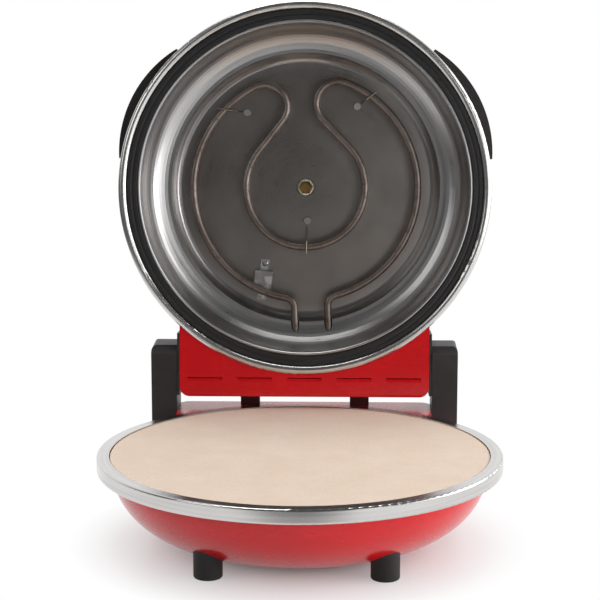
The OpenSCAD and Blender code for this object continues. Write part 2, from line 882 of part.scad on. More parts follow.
// Clamp plate on the reflector, and the distance of its rivets from its middle
clamp_x = -0.38 * outer_loop_r;
clamp_y = 0.831 * outer_loop_r;
clamp_turn = 6;
clamp_w = 17;
clamp_rise = 7;
clamp_reach = 15.6;
rivet_d = 3;
module clamp_at() translate([clamp_x, clamp_y, 0]) rotate([0, 0, clamp_turn]) children();

// The four grip screws, pointing outwards from the dome's inside
module grip_screws_at() {
  r = dome_r(grip_post_z + grip_screw_d) - shell_t - 0.3;
  both_sides()
    for (s = [-1, 1])
      rotate([0, 0, -grip_dir + s * grip_post_angle])
        along_x([r, 0, grip_post_z]) children();
}

module lid_shell() {
  color("firebrick")
    in_dome()
      difference() {
        rotate_extrude() shell_section();
        element_place()
          both_sides()
            along_y([end_gap / 2, bush_front, tube_z]) cylinder(d = bush_d + screw_fit, h = through);
        along_y([lid_lead_x, lip_r - through, lid_lead_z]) cylinder(d = lid_lead_d + 4, h = 2 * through);
        cylinder(d = spindle_hole_d, h = 2 * bowl_depth);
        translate([0, -lamp_offset, 0]) cylinder(d = lamp_d + screw_fit, h = 2 * bowl_depth);
        grip_screws_at() cylinder(d = grip_screw_d + screw_fit, h = through, center = true);
      }
}

module lid_rim_ring() {
  color("silver")
    in_dome()
      rim_ring(lid_ring_w) {
        crowned_band(lid_ring_w, 0);
        crowned_band(lid_ring_w, ring_t);
      }
}

// Black insulating ring between the lid's ring and the reflector's lip
module lid_seal() {
  r0 = lip_r + 2 * lip_round + 0.2;
  r1 = ring_r - lid_ring_w - seat_gap;
  top = seat_depth - 0.05;
  color("black")
    in_dome()
      rotate_extrude()
        difference() {
          polygon([[r0, 2], [r0 + 1, 1.4], [r1 - 1.2, 1.4], [r1, 2.6], [r1, top], [r0, top]]);
          translate([(r0 + r1) / 2, 0.6]) circle(r = 1.6);
        }
}

// Sheet of the reflector from the sensor's hole to the lip and its outer flange
function lip_arc(r) = [
  for (a = [360:-30:180])
    [lip_r + lip_round + r * cos(a), lip_depth + lip_round + r * sin(a)]
];

function reflector_walls(dr, dz) = concat(
  curve(lip_r + dr, crease_r + dr, lip_depth + lip_round, crease_depth + dz, 2.1, 14),
  curve(crease_r + dr, disc_r + dr, crease_depth + dz, disc_depth + dz, 2, 10));

module reflector_section() {
  t = liner_t;
  outer = lip_r + 2 * lip_round;
  polygon(concat(
    [[reflector_flange_r, ring_h], [reflector_flange_r, seat_depth], [outer, seat_depth]],
    lip_arc(lip_round),
    reflector_walls(0, 0),
    [[sensor_hole_d / 2, disc_depth], [sensor_hole_d / 2, disc_depth + t]],
    reversed(reflector_walls(t, t)),
    reversed(lip_arc(lip_round - t)),
    [[outer - t, ring_h]]));
}

module reflector() {
  color("lightgray")
    in_dome()
      difference() {
        rotate_extrude() reflector_section();
        element_place()
          both_sides()
            along_y([end_gap / 2, disc_r, tube_z]) cylinder(d = slot_d, h = through);
        for (h = HOOKS)
          translate([h[0].x, h[0].y, disc_depth - cut]) cylinder(d = hook_screw_d + screw_fit, h = 4);
        clamp_at()
          for (s = [-1, 1])
            translate([0, s * clamp_reach, disc_depth - cut]) cylinder(d = rivet_d + screw_fit, h = 4);
      }
}

// Half of the element: outer loop, hairpin, inner loop and the end that leaves the dome
module upper_element_half() {
  h_turn = atan2(hairpin.y, hairpin.x);
  b_turn = atan2(upper_bend.y, upper_bend.x);
  lean = acos((hairpin_r + inner_loop_r) / norm(hairpin));
  leave = h_turn - 180 + lean;
  arrive = h_turn + lean;
  from = [hairpin.x + hairpin_r * cos(leave), hairpin.y + hairpin_r * sin(leave), 0];
  to = [inner_loop_r * cos(arrive), inner_loop_r * sin(arrive), 0];
  translate([0, 0, tube_z]) {
    bend([0, 0], outer_loop_r, h_turn, b_turn, tube_d, [h_turn, b_turn]);
    bend(hairpin, hairpin_r, leave, h_turn, tube_d, [leave]);
    bend([0, 0], inner_loop_r, arrive, 90, tube_d, [arrive, 90]);
    bend(upper_bend, end_bend_r, 180, 180 + b_turn, tube_d, [180]);
    rod(from, to, tube_d);
    along_y([end_gap / 2, upper_bend.y, 0]) cylinder(d = tube_d, h = end_y - upper_bend.y);
    along_y([end_gap / 2, end_y - 0.01, 0]) cylinder(d = pin_end_d, h = pin_end_l);
  }
}

module upper_element() {
  color("rosybrown") in_dome() element_place() both_sides() upper_element_half();
}

module upper_element_bushings() {
  color("gray")
    in_dome()
      element_place()
        both_sides()
          along_y([end_gap / 2, bush_front, tube_z])
            difference() {
              cylinder(d = bush_d, h = bush_l);
              translate([0, 0, -cut]) cylinder(d = tube_d + screw_fit, h = bush_l + 2 * cut);
            }
}

// Wire hooks that hold the tube to the reflector
module element_hooks() {
  over = (tube_d + hook_d) / 2 + 0.1;   // clear of the tube in front
  beside = 1.3 * over;                  // and on both sides, where a hook crosses at a slant
  eye_r = (hook_screw_d + hook_d) / 2 + 0.1;
  flat_z = disc_depth - hook_d / 2;
  color("silver")
    in_dome()
      for (h = HOOKS) {
        u = (h[1] - h[0]) / norm(h[1] - h[0]);
        eye = h[0] + u * eye_r;
        lift = h[0] + u * 2 * eye_r;
        near = h[1] - u * beside;
        far = h[1] + u * beside;
        translate([h[0].x, h[0].y, flat_z])
          rotate_extrude()
            translate([eye_r, 0])
              circle(d = hook_d);
        wire([[eye.x, eye.y, flat_z], [lift.x, lift.y, flat_z - 0.1], [near.x, near.y, tube_z + over],
              [near.x, near.y, tube_z - over], [far.x, far.y, tube_z - over],
              [far.x, far.y, tube_z + 1]], hook_d - 0.15);
      }
}

module hook_screws() {
  color("silver")
    in_dome()
      for (h = HOOKS)
        translate([h[0].x, h[0].y, disc_depth - hook_d]) screw(hook_screw_d, hook_d + 5);
}

// Raised plate with two tabs, which holds the thermal fuse against the reflector
module fuse_clamp() {
  t = 1;
  inner = [clamp_w + 2 * cut, clamp_w - 2 * t, clamp_rise];
  color("gainsboro")
    in_dome()
      clamp_at()
        difference() {
          union() {
            translate([-clamp_w / 2, -clamp_w / 2, disc_depth - clamp_rise])
              cube([clamp_w, clamp_w, clamp_rise]);
            translate([-4, -clamp_reach - 4, disc_depth - t]) cube([8, 2 * clamp_reach + 8, t]);
          }
          translate([-inner.x / 2, -inner.y / 2, disc_depth - clamp_rise + t]) cube(inner);
          for (s = [-1, 1])
            translate([0, s * clamp_reach, 0]) cylinder(d = rivet_d + screw_fit, h = 2 * disc_depth);
        }
}

module clamp_rivets() {
  head = 1.3;
  color("silver")
    in_dome()
      clamp_at()
        for (s = [-1, 1])
          translate([0, s * clamp_reach, disc_depth - 1]) {
            cylinder(d = rivet_d, h = liner_t + 2);
            translate([0, 0, -head]) cylinder(d1 = rivet_d, d2 = 2 * rivet_d, h = head);
          }
}

module thermal_fuse() {
  d = clamp_rise - 2.2;
  color("ivory")
    in_dome()
      clamp_at()
        along_x([-clamp_w / 2 + 1.5, 0, disc_depth - d / 2 - 0.1]) cylinder(d = d, h = clamp_w - 3);
}

// ---------- thermostat ----------
thermostat_d = 34;
thermostat_h = 13;
spindle_seat = 8;                       // depth of the spindle's bearing in the thermostat
sensor_d = 8;
knob_bore = 10;                         // how far the spindle enters the knob

module thermostat_body() {
  z1 = bowl_depth - shell_t;
  color("ivory")
    in_dome()
      difference() {
        union() {
          translate([0, 0, z1 - thermostat_h]) cylinder(d = thermostat_d, h = thermostat_h);
          translate([0, 0, disc_depth + liner_t + 0.3])
            cylinder(d = sensor_hole_d - 2, h = z1 - thermostat_h - disc_depth - liner_t);
        }
        translate([0, 0, z1 - spindle_seat])
          cylinder(d = spindle_d + 2 * pin_fit, h = spindle_seat + cut);
      }
}

// Brass nut and stem of the heat sensor, in the reflector's middle hole
module sensor_nut() {
  color("goldenrod")
    in_dome()
      translate([0, 0, disc_depth + liner_t + 0.3]) {
        translate([0, 0, -5]) cylinder(d = sensor_hole_d - 3.5, h = 5, $fn = 6);
        translate([0, 0, -8]) cylinder(d = sensor_d, h = 8);
      }
}

module dial_plate() {
  color("silver")
    in_dome()
      difference() {
        translate([0, 0, bowl_depth]) cylinder(d = dial_d, h = dial_t);
        cylinder(d = spindle_hole_d, h = 2 * bowl_depth);
        translate([0, -lamp_offset, 0]) cylinder(d = lamp_d + screw_fit, h = 2 * bowl_depth);
      }
}

module pilot_lens() {
  z = bowl_depth - shell_t;
  color("orange")
    in_dome()
      translate([0, -lamp_offset, 0]) {
        translate([0, 0, z]) cylinder(d = lamp_d, h = shell_t + dial_t + 0.5);
        translate([0, 0, bowl_depth + dial_t + 0.5]) cylinder(d1 = lamp_d, d2 = lamp_d - 3, h = 1.5);
      }
}

module pilot_lamp() {
  h = 9;
  color("ivory")
    in_dome()
      translate([0, -lamp_offset, bowl_depth - shell_t - h]) {
        cylinder(d = lamp_d, h = h);
        translate([0, 0, h - 2]) cylinder(d = lamp_d + 4, h = 2);
      }
}

module thermostat_spindle() {
  z0 = bowl_depth - shell_t - spindle_seat + 0.5;
  color("silver")
    in_dome()
      translate([0, 0, z0]) cylinder(d = spindle_d, h = knob_z + knob_bore - z0);
}

module thermostat_knob() {
  skirt = 5;
  grip_w = 13;
  color("black")
    knob_place()
      difference() {
        union() {
          cylinder(d = knob_d, h = skirt - 1);
          cylinder(d1 = knob_d, d2 = knob_d - 2, h = skirt);
          intersection() {
            cylinder(d = knob_d - 4, h = knob_h);
            translate([-grip_w / 2, -knob_d, 0]) cube([grip_w, 2 * knob_d, knob_h]);
          }
        }
        translate([0, 0, -cut]) cylinder(d = spindle_d, h = knob_bore + cut);
        pointer_block(0.1);
      }
}

// The knob stands at off
module knob_place() in_dome() translate([0, 0, knob_z]) rotate([0, 0, -knob_off]) children();

// The pointer is a strip let into the knob's grip
module pointer_block(gap) {
  translate([-1 - gap, -knob_d / 2 + 5 - gap, knob_h - 1 - gap])
    cube([2 + 2 * gap, 12 + 2 * gap, 1.4 + 2 * gap]);
}

module knob_pointer() {
  color("white") knob_place() pointer_block(0);
}

// ---------- lid housing ----------
cheek_boss_d = pin_d + 8;
lid_post_y = [hinge_y - 31.1, hinge_y - 13.1];
lid_post_x = housing_w / 2 - 19.7;

// Body of the lid housing up to a height, drawn in by inset, its lower rear edge rounded
module lid_housing_body(inset, top) {
  r = lid_housing_round;
  low = lid_housing_low + inset;
  difference() {
    translate([0, 0, low]) linear_extrude(top - low) housing_plan(lid_panel_w, inset);
    difference() {
      translate([-lid_panel_w, housing_y - r, lid_housing_low - cut])
        cube([2 * lid_panel_w, r + cut, r + cut]);
      along_x([-lid_panel_w - cut, housing_y - r, lid_housing_low + r])
        cylinder(r = r - inset, h = 2 * (lid_panel_w + cut));
    }
  }
}

// Sloping recess with a slit along its deep edge
module louvre() {
  depth = 1;
  slit = 0.7;
  translate([-louvre_l / 2, -louvre_w / 2, -cut]) {
    cube([louvre_l, slit, housing_t + 2 * cut]);
    translate([0, 0, depth + cut])
      rotate([-atan2(depth, louvre_w), 0, 0])
        translate([0, 0, -housing_t - cut])
          cube([louvre_l, louvre_w * 1.04, housing_t + cut]);
  }
}

module lid_housing() {
  color("firebrick")
    in_lid()
      difference() {
        union() {
          difference() {
            lid_housing_body(0, lid_housing_high);
            lid_housing_body(housing_t, lid_housing_high + cut);
          }
          both_sides()
            for (y = lid_post_y)
              translate([lid_post_x, y, lid_housing_low + housing_t / 2])
                cylinder(d = 9, h = lid_housing_high - cover_t - lid_housing_low - housing_t / 2);
        }
        translate([0, 0, rim_gap]) shell_body(seat_gap);
        for (i = [0:louvre_count - 1])
          translate([(i - (louvre_count - 1) / 2) * louvre_pitch, housing_y - louvre_inset, lid_housing_low])
            louvre();
        both_sides() {
          along_x([lid_panel_w / 2 - housing_t - cut, hinge_y, hinge_z])
            cylinder(d = cheek_boss_d + screw_fit, h = housing_t + 2 * cut);
          for (y = lid_post_y)
            translate([lid_post_x, y, lid_housing_high - cover_t - cover_screw_l])
              cylinder(d = cover_screw_d, h = cover_screw_l + cut);
        }
        stop_screws_at() cylinder(d = stop_screw_d + screw_fit, h = 20, center = true);
      }
}

module lid_housing_cover() {
  color("firebrick")
    in_lid()
      difference() {
        translate([0, 0, lid_housing_high - cover_t])
          linear_extrude(cover_t)
            housing_plan(lid_panel_w, housing_t + seat_gap);
        translate([0, 0, rim_gap]) shell_body(seat_gap);
        both_sides()
          for (y = lid_post_y)
            translate([lid_post_x, y, lid_housing_high - cover_t - cut])
              cylinder(d = cover_screw_d + screw_fit, h = cover_t + 2 * cut);
      }
}

module lid_cover_screws() {
  color("silver")
    in_lid()
      both_sides()
        for (y = lid_post_y)
          translate([lid_post_x, y, lid_housing_high])
            mirror([0, 0, 1]) screw(cover_screw_d - 0.02, cover_screw_l);
}

// Plate with a boss that turns on the hinge pin
module hinge_cheek() {
  x0 = housing_w / 2 - cheek_t;
  y0 = hinge_y - 43.1;
  y1 = housing_y - 1;
  r = 5;
  difference() {
    union() {
      side_plate(x0, housing_w / 2)
        intersection() {
          translate([y0, lid_housing_low]) square([y1 - y0, lid_housing_high - lid_housing_low]);
          union() {
            translate([y0, lid_housing_low]) square([y1 - y0 - r, lid_housing_high - lid_housing_low]);
            translate([y0, lid_housing_low + r])
              square([y1 - y0, lid_housing_high - lid_housing_low - 2 * r]);
            for (z = [lid_housing_low + r, lid_housing_high - r])
              translate([y1 - r, z]) circle(r = r);
          }
        }
      along_x([pin_end_x + 1, hinge_y, hinge_z])
        cylinder(d = cheek_boss_d, h = x0 - pin_end_x - 0.5);
    }
    along_x([pin_end_x, hinge_y, hinge_z]) cylinder(d = pin_d + 2 * pin_fit, h = 20);
  }
}

module hinge_cheek_left() color("black") in_lid() mirror([1, 0, 0]) hinge_cheek();
module hinge_cheek_right() color("black") in_lid() hinge_cheek();

// ---------- stops ----------
stop_screw_d = 3;
stop_screw_l = 8 + housing_t;
stop_top = 14;                          // top of the blocks above the base ring
stop_mid_y = hinge_y + 1 + stop_depth / 2;
stop_mid_z = hinge_z + (stop_mid_y - hinge_y) / sin(open_angle);

// Screws from inside the lid housing into the stop blocks, along the lid's +y
module stop_screws_at() {
  for (s = [-1, 1])
    along_y([s * stop_x, housing_y - housing_t, stop_mid_z]) children();
}

// The blocks stand upright on the base housing while the lid is open
module lid_stops() {
  color("maroon")
    in_base()
      difference() {
        for (s = [-1, 1])
          translate([s * stop_x - stop_w / 2, stop_mid_y - stop_depth / 2, seat_gap - base_housing_drop])
            cube([stop_w, stop_depth, stop_top + base_housing_drop]);
        swing_open() {
          translate([0, 0, lid_housing_low])
            linear_extrude(lid_housing_high - lid_housing_low)
              translate([-lid_panel_w / 2, housing_front])
                square([lid_panel_w, housing_y - housing_front]);
          stop_screws_at() cylinder(d = stop_screw_d, h = stop_screw_l + cut);
        }
      }
}

module stop_screws() {
  color("silver") in_lid() stop_screws_at() screw(stop_screw_d - 0.02, stop_screw_l);
}

// ---------- grips ----------
// Everything within an angle on either side of +x
module wedge(angle) {
  reach = 2 * grip_r;
  polygon([[0, 0], reach * [cos(angle), -sin(angle)], reach * [cos(angle), sin(angle)]]);
}

module grip_plan() {
  bow = grip_r - grip_offset;
  difference() {
    intersection() {
      translate([grip_offset, 0]) circle(r = bow);
      wedge(grip_span);
    }
    circle(r = bowl_flat_r);
    intersection() {
      translate([grip_offset, 0]) circle(r = bow - grip_bar);
      wedge(grip_span - 6);
    }
  }
}

module grip() {
  difference() {
    rotate([0, 0, -grip_dir])
      translate([0, 0, grip_low])
        linear_extrude(grip_h)
          grip_plan();
    shell_body(0.1);
    grip_screws_at() cylinder(d = grip_screw_d, h = through, center = true);
  }
}

module grip_left() color("black") in_dome() mirror([1, 0, 0]) grip();
module grip_right() color("black") in_dome() grip();

module grip_screws() {
  color("silver") in_dome() grip_screws_at() screw(grip_screw_d - 0.02, 16);
}

// ---------- leads in the lid ----------
module lid_leads() {
  pin_tip = end_y + pin_end_l + seat_gap;
  turned = function (x, y) [x * cos(element_turn) + y * sin(element_turn),
                            y * cos(element_turn) - x * sin(element_turn)];
  tips = [for (s = [-1, 1]) turned(s * end_gap / 2, pin_tip)];
  z_tip = tube_z + rim_gap;
  x_pin = seat_gap - pin_end_x;
  joint_y = hinge_y + 4.9;              // where the bundle parts
  joint_z = hinge_z + 9;
  wall_y = hinge_y - 15.1;              // outside the dome's wall
  inner_y = hinge_y - 37.1;             // inside it
  drop = [38, hinge_y - 61.1, 0];       // above the thermostat's height
  terminal = drop * (thermostat_d + lid_lead_d) / 2 / norm(drop);
  color("tan")
    in_lid() {
      lead([[x_pin, hinge_y, hinge_z], [x_pin + 12, hinge_y, hinge_z], [-60, joint_y, joint_z],
            [lid_lead_x, joint_y, joint_z]], lead_d);
      for (tip = tips)
        lead([[tip.x, tip.y, z_tip], [tip.x, tip.y + 6, z_tip], [tip.x, joint_y, joint_z]], lid_lead_d);
      lead([[lid_lead_x, joint_y, joint_z], [lid_lead_x, wall_y, lid_lead_z],
            [lid_lead_x, inner_y, lid_lead_z + 2], drop + [0, 0, bowl_depth - 12.7],
            terminal + [0, 0, bowl_depth - 10.7]],
           lid_lead_d);
    }
}

base_shell();
base_rim_ring();
heat_tray();
baking_stone();
lower_element();
lower_element_bushings();
lower_element_saddles();
foot_front_left();
foot_front_right();
foot_rear_left();
foot_rear_right();
foot_screws();
base_housing();
base_housing_cover();
housing_cover_screws();
cord_gland();
terminal_block();
earth_screw();
base_leads();
hinge_arm_left();
hinge_arm_right();
arm_cover_left();
arm_cover_right();
hinge_pin_left();
hinge_pin_right();
arm_screws();
lid_shell();
lid_rim_ring();
lid_seal();
reflector();
upper_element();
upper_element_bushings();
element_hooks();
hook_screws();
fuse_clamp();
clamp_rivets();
thermal_fuse();
thermostat_body();
sensor_nut();
lid_housing();
lid_housing_cover();
lid_cover_screws();
hinge_cheek_left();
hinge_cheek_right();
lid_stops();
stop_screws();
grip_left();
grip_right();
grip_screws();
dial_plate();
pilot_lens();
pilot_lamp();
lid_leads();
thermostat_spindle();
thermostat_knob();
knob_pointer();
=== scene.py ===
import json
import math

import bpy
from mathutils import Matrix, Vector


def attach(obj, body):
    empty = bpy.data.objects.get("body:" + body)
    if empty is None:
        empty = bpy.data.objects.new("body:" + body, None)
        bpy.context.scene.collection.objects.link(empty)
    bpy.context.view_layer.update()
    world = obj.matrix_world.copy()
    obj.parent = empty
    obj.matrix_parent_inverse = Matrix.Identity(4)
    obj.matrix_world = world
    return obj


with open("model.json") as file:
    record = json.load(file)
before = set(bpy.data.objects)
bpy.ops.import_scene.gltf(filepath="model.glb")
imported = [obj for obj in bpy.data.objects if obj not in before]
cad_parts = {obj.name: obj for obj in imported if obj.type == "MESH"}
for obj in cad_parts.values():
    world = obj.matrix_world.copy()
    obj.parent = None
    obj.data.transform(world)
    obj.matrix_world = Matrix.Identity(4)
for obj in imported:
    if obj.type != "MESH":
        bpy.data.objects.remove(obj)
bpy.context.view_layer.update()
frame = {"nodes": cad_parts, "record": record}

scene = bpy.context.scene
scene.view_settings.view_transform = "Standard"

# ---------- the part's own frame ----------
MM = 0.001
ORIGIN_Y = -44.388            # the build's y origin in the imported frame, mm
TABLE_Z = 78.0                # its z origin above the table, mm
HINGE_Y = 179.1
HINGE_Z = 25.0
OPEN_ANGLE = math.radians(95.5)
RIM_GAP = 0.5
DIAL_Z = 71.7                 # outer face of the dial plate above the dome's rim
BASE = Matrix.Diagonal((MM, MM, MM, 1)) @ Matrix.Translation((0, ORIGIN_Y, TABLE_Z))
LID = (
    BASE
    @ Matrix.Translation((0, HINGE_Y, HINGE_Z))
    @ Matrix.Rotation(-OPEN_ANGLE, 4, "X")
    @ Matrix.Translation((0, -HINGE_Y, -HINGE_Z))
)
DOME = LID @ Matrix.Translation((0, 0, RIM_GAP))


# ---------- camera ----------
CAMERA_AT = (0.04, -1.6099, 0.4987)
CAMERA_TARGET = (0.00011, -0.04439, 0.21014)
LENS_MM = 112.79
SENSOR_MM = 36


def look(obj, target):
    away = Vector(obj.location) - Vector(target)
    obj.rotation_mode = "QUATERNION"
    obj.rotation_quaternion = away.to_track_quat("Z", "Y")


camera = bpy.data.objects.new("camera", bpy.data.cameras.new("camera"))
scene.collection.objects.link(camera)
camera.data.lens = LENS_MM
camera.data.sensor_width = SENSOR_MM
camera.data.clip_start = 0.05
camera.data.clip_end = 60
camera.location = CAMERA_AT
look(camera, CAMERA_TARGET)
scene.camera = camera


# ---------- node helpers ----------
class Tree:
    """The node tree of a material or of the world, with short ways to add and join its nodes."""

    def __init__(self, name, world=False):
        self.owner = (bpy.data.worlds if world else bpy.data.materials).new(name)
        self.owner.use_nodes = True
        self.nodes = self.owner.node_tree.nodes
        self.links = self.owner.node_tree.links
        self.nodes.clear()
        self.out = self.add("ShaderNodeOutputWorld" if world else "ShaderNodeOutputMaterial")
        coords = self.add("ShaderNodeTexCoord")
        self.place = coords.outputs["Generated" if world else "Object"]

    def add(self, kind, props=None, **sockets):
        node = self.nodes.new(kind)
        for key, value in (props or {}).items():
            setattr(node, key, value)
        for key, value in sockets.items():
            self.put(node.inputs[key.replace("_", " ")], value)
        return node

    def put(self, socket, value):
        if isinstance(value, bpy.types.NodeSocket):
            self.links.new(value, socket)
        elif isinstance(value, (tuple, list)) and len(value) == 3 and socket.type == "RGBA":
            socket.default_value = (*value, 1)
        else:
            socket.default_value = value

    def math(self, operation, a, b):
        node = self.nodes.new("ShaderNodeMath")
        node.operation = operation
        self.put(node.inputs[0], a)
        self.put(node.inputs[1], b)
        return node.outputs[0]

    def vector(self, operation, a, b=(0, 0, 0), output="Vector"):
        node = self.nodes.new("ShaderNodeVectorMath")
        node.operation = operation
        self.put(node.inputs[0], a)
        self.put(node.inputs[1], b)
        return node.outputs[output]

    def scaled(self, coords, by):
        return self.vector("MULTIPLY", coords, by if isinstance(by, tuple) else (by, by, by))

    def noise(self, coords, scale, detail, roughness=0.5):
        return self.add(
            "ShaderNodeTexNoise",
            Vector=coords,
            Scale=scale,
            Detail=detail,
            Roughness=roughness,
        ).outputs["Fac"]

    def voronoi(self, coords, scale, output="Distance"):
        return self.add("ShaderNodeTexVoronoi", Vector=coords, Scale=scale).outputs[output]

    def span(self, value, low, high, to_low=0.0, to_high=1.0):
        node = self.nodes.new("ShaderNodeMapRange")
        for socket, number in zip(node.inputs, (value, low, high, to_low, to_high)):
            self.put(socket, number)
        return node.outputs[0]

    def mix(self, factor, a, b):
        node = self.nodes.new("ShaderNodeMix")
        node.data_type = "RGBA"
        self.put(node.inputs["Factor"], factor)
        self.put(node.inputs[6], a)
        self.put(node.inputs[7], b)
        return node.outputs[2]

    def bump(self, height, distance, strength):
        node = self.add("ShaderNodeBump", Height=height, Distance=distance, Strength=strength)
        return node.outputs["Normal"]

    def polar(self, matrix):
        """Round coordinates about the z axis of matrix: radius and height in mm, and the direction
        as a unit vector, which has no seam."""
        at = matrix.inverted()
        x, y, z = (
            self.math(
                "ADD",
                self.vector("DOT_PRODUCT", self.place, tuple(row[:3]), "Value"),
                row[3],
            )
            for row in at[:3]
        )
        flat = self.add("ShaderNodeCombineXYZ", X=x, Y=y).outputs[0]
        radius = self.vector("LENGTH", flat, output="Value")
        direction = self.vector("NORMALIZE", flat)
        return radius, z, direction

    def rings(self, matrix, across, along):
        """Coordinates that give noise the look of lines turned round an axis, and the radius."""
        radius, height, direction = self.polar(matrix)
        turned = self.add("ShaderNodeSeparateXYZ", Vector=self.scaled(direction, along)).outputs
        run = self.math("MULTIPLY", self.math("ADD", radius, height), across)
        coords = self.add("ShaderNodeCombineXYZ", X=turned["X"], Y=turned["Y"], Z=run)
        return coords.outputs[0], radius

    def shade(self, **sockets):
        shader = self.add("ShaderNodeBsdfPrincipled", **sockets)
        self.links.new(shader.outputs[0], self.out.inputs[0])
        return self.owner

    def shows_background(self):
        """1 for the rays that show the background: the camera's, and those off metal or through
        glass."""
        path = self.add("ShaderNodeLightPath").outputs
        bent = self.math("MAXIMUM", path["Is Glossy Ray"], path["Is Transmission Ray"])
        return self.math("MAXIMUM", path["Is Camera Ray"], bent)


def srgb(*values):
    """Linear colour from 0-255 display values."""
    return tuple(
        v / 255 / 12.92 if v <= 10 else ((v / 255 + 0.055) / 1.055) ** 2.4 for v in values
    )


# ---------- materials ----------
def red_enamel():
    t = Tree("red_enamel")
    cloud = t.noise(t.place, 14, 3)
    fleck = t.noise(t.place, 1400, 2)
    colour = t.mix(t.span(cloud, 0.35, 0.65), srgb(213, 6, 18), srgb(223, 9, 22))
    colour = t.mix(t.span(fleck, 0.62, 0.8, 0, 0.25), colour, srgb(238, 34, 40))
    smear = t.noise(t.scaled(t.place, (1, 1, 3)), 22, 5, 0.65)
    peel = t.noise(t.place, 520, 2)
    return t.shade(
        Base_Color=colour,
        Roughness=t.span(smear, 0.3, 0.75, 0.22, 0.32),
        Specular_IOR_Level=0.25,
        Coat_Weight=0.5,
        Coat_Roughness=0.06,
        Normal=t.bump(peel, 0.00006, 0.35),
    )


def turned_metal(name, matrix, colours, rough, grain):
    """Metal spun on a lathe: fine lines round the axis of matrix."""
    t = Tree(name)
    coords, _ = t.rings(matrix, 2.2, 2.0)
    lines = t.noise(coords, 1.0, 6, 0.7)
    coarse, _ = t.rings(matrix, 0.35, 1.2)
    bands = t.noise(coarse, 1.0, 3)
    stains = t.noise(t.place, 18, 5, 0.6)
    colour = t.mix(t.span(bands, 0.3, 0.7), *colours)
    colour = t.mix(t.span(stains, 0.5, 0.8, 0, 0.3), colour, colours[0])
    level = t.math("ADD", t.span(lines, 0.3, 0.7, -0.04, 0.06), t.span(stains, 0.3, 0.7, *rough))
    return t.shade(
        Base_Color=colour,
        Metallic=1.0,
        Roughness=level,
        Normal=t.bump(lines, grain, 0.6),
    )


def plain_metal(name, colours, rough, scale=300, grain=0.00002, spots=None):
    t = Tree(name)
    broad = t.noise(t.place, scale / 8, 4)
    fine = t.noise(t.place, scale * 6, 3)
    colour = t.mix(t.span(broad, 0.35, 0.65), *colours)
    if spots:
        colour = t.mix(t.span(t.noise(t.place, scale, 5, 0.7), 0.6, 0.75), colour, spots)
    return t.shade(
        Base_Color=colour,
        Metallic=1.0,
        Roughness=t.span(broad, 0.3, 0.7, *rough),
        Normal=t.bump(fine, grain, 0.6),
    )


def plastic(name, colour, dusty, rough, grain_scale, grain, sheen=0.0):
    t = Tree(name)
    cells = t.voronoi(t.place, grain_scale)
    wear = t.noise(t.place, 40, 6, 0.65)
    shade = t.mix(t.span(wear, 0.45, 0.75, 0, 0.6), colour, dusty)
    return t.shade(
        Base_Color=shade,
        Roughness=t.span(wear, 0.3, 0.7, *rough),
        Specular_IOR_Level=0.45,
        Sheen_Weight=sheen,
        Normal=t.bump(cells, grain, 0.7),
    )


def stone():
    t = Tree("stone")
    mottle = t.noise(t.place, 26, 5, 0.6)
    grains = t.voronoi(t.place, 900, output="Color")
    grit = t.add("ShaderNodeSeparateColor", Color=grains).outputs[0]
    pores = t.voronoi(t.place, 420)
    specks = t.noise(t.place, 620, 2)
    colour = t.mix(t.span(mottle, 0.3, 0.7), srgb(235, 213, 194), srgb(242, 223, 206))
    colour = t.mix(t.span(grit, 0.0, 1.0, 0, 0.28), colour, srgb(214, 186, 163))
    colour = t.mix(t.span(specks, 0.68, 0.76, 0, 0.55), colour, srgb(188, 155, 130))
    colour = t.mix(t.span(specks, 0.3, 0.22, 0, 0.6), colour, srgb(248, 238, 226))
    sand = t.noise(t.place, 1500, 4, 0.7)
    dents = t.span(pores, 0.0, 0.25)
    height = t.math("ADD", t.math("MULTIPLY", sand, 0.6), t.math("MULTIPLY", dents, 0.4))
    return t.shade(
        Base_Color=colour,
        Roughness=t.span(mottle, 0.3, 0.7, 0.78, 0.92),
        Specular_IOR_Level=0.3,
        Normal=t.bump(height, 0.00016, 0.55),
    )


def sheath():
    """Heated tube: oxidised, with warm patches and grime."""
    t = Tree("element_sheath")
    patch = t.noise(t.place, 24, 4, 0.6)
    grime = t.noise(t.place, 150, 6, 0.7)
    colour = t.mix(t.span(patch, 0.35, 0.65), srgb(112, 100, 93), srgb(134, 124, 118))
    colour = t.mix(t.span(grime, 0.52, 0.7, 0, 0.7), colour, srgb(80, 69, 63))
    fine = t.noise(t.place, 1800, 3)
    return t.shade(
        Base_Color=colour,
        Metallic=0.85,
        Roughness=t.span(grime, 0.35, 0.7, 0.3, 0.5),
        Normal=t.bump(fine, 0.00003, 0.6),
    )


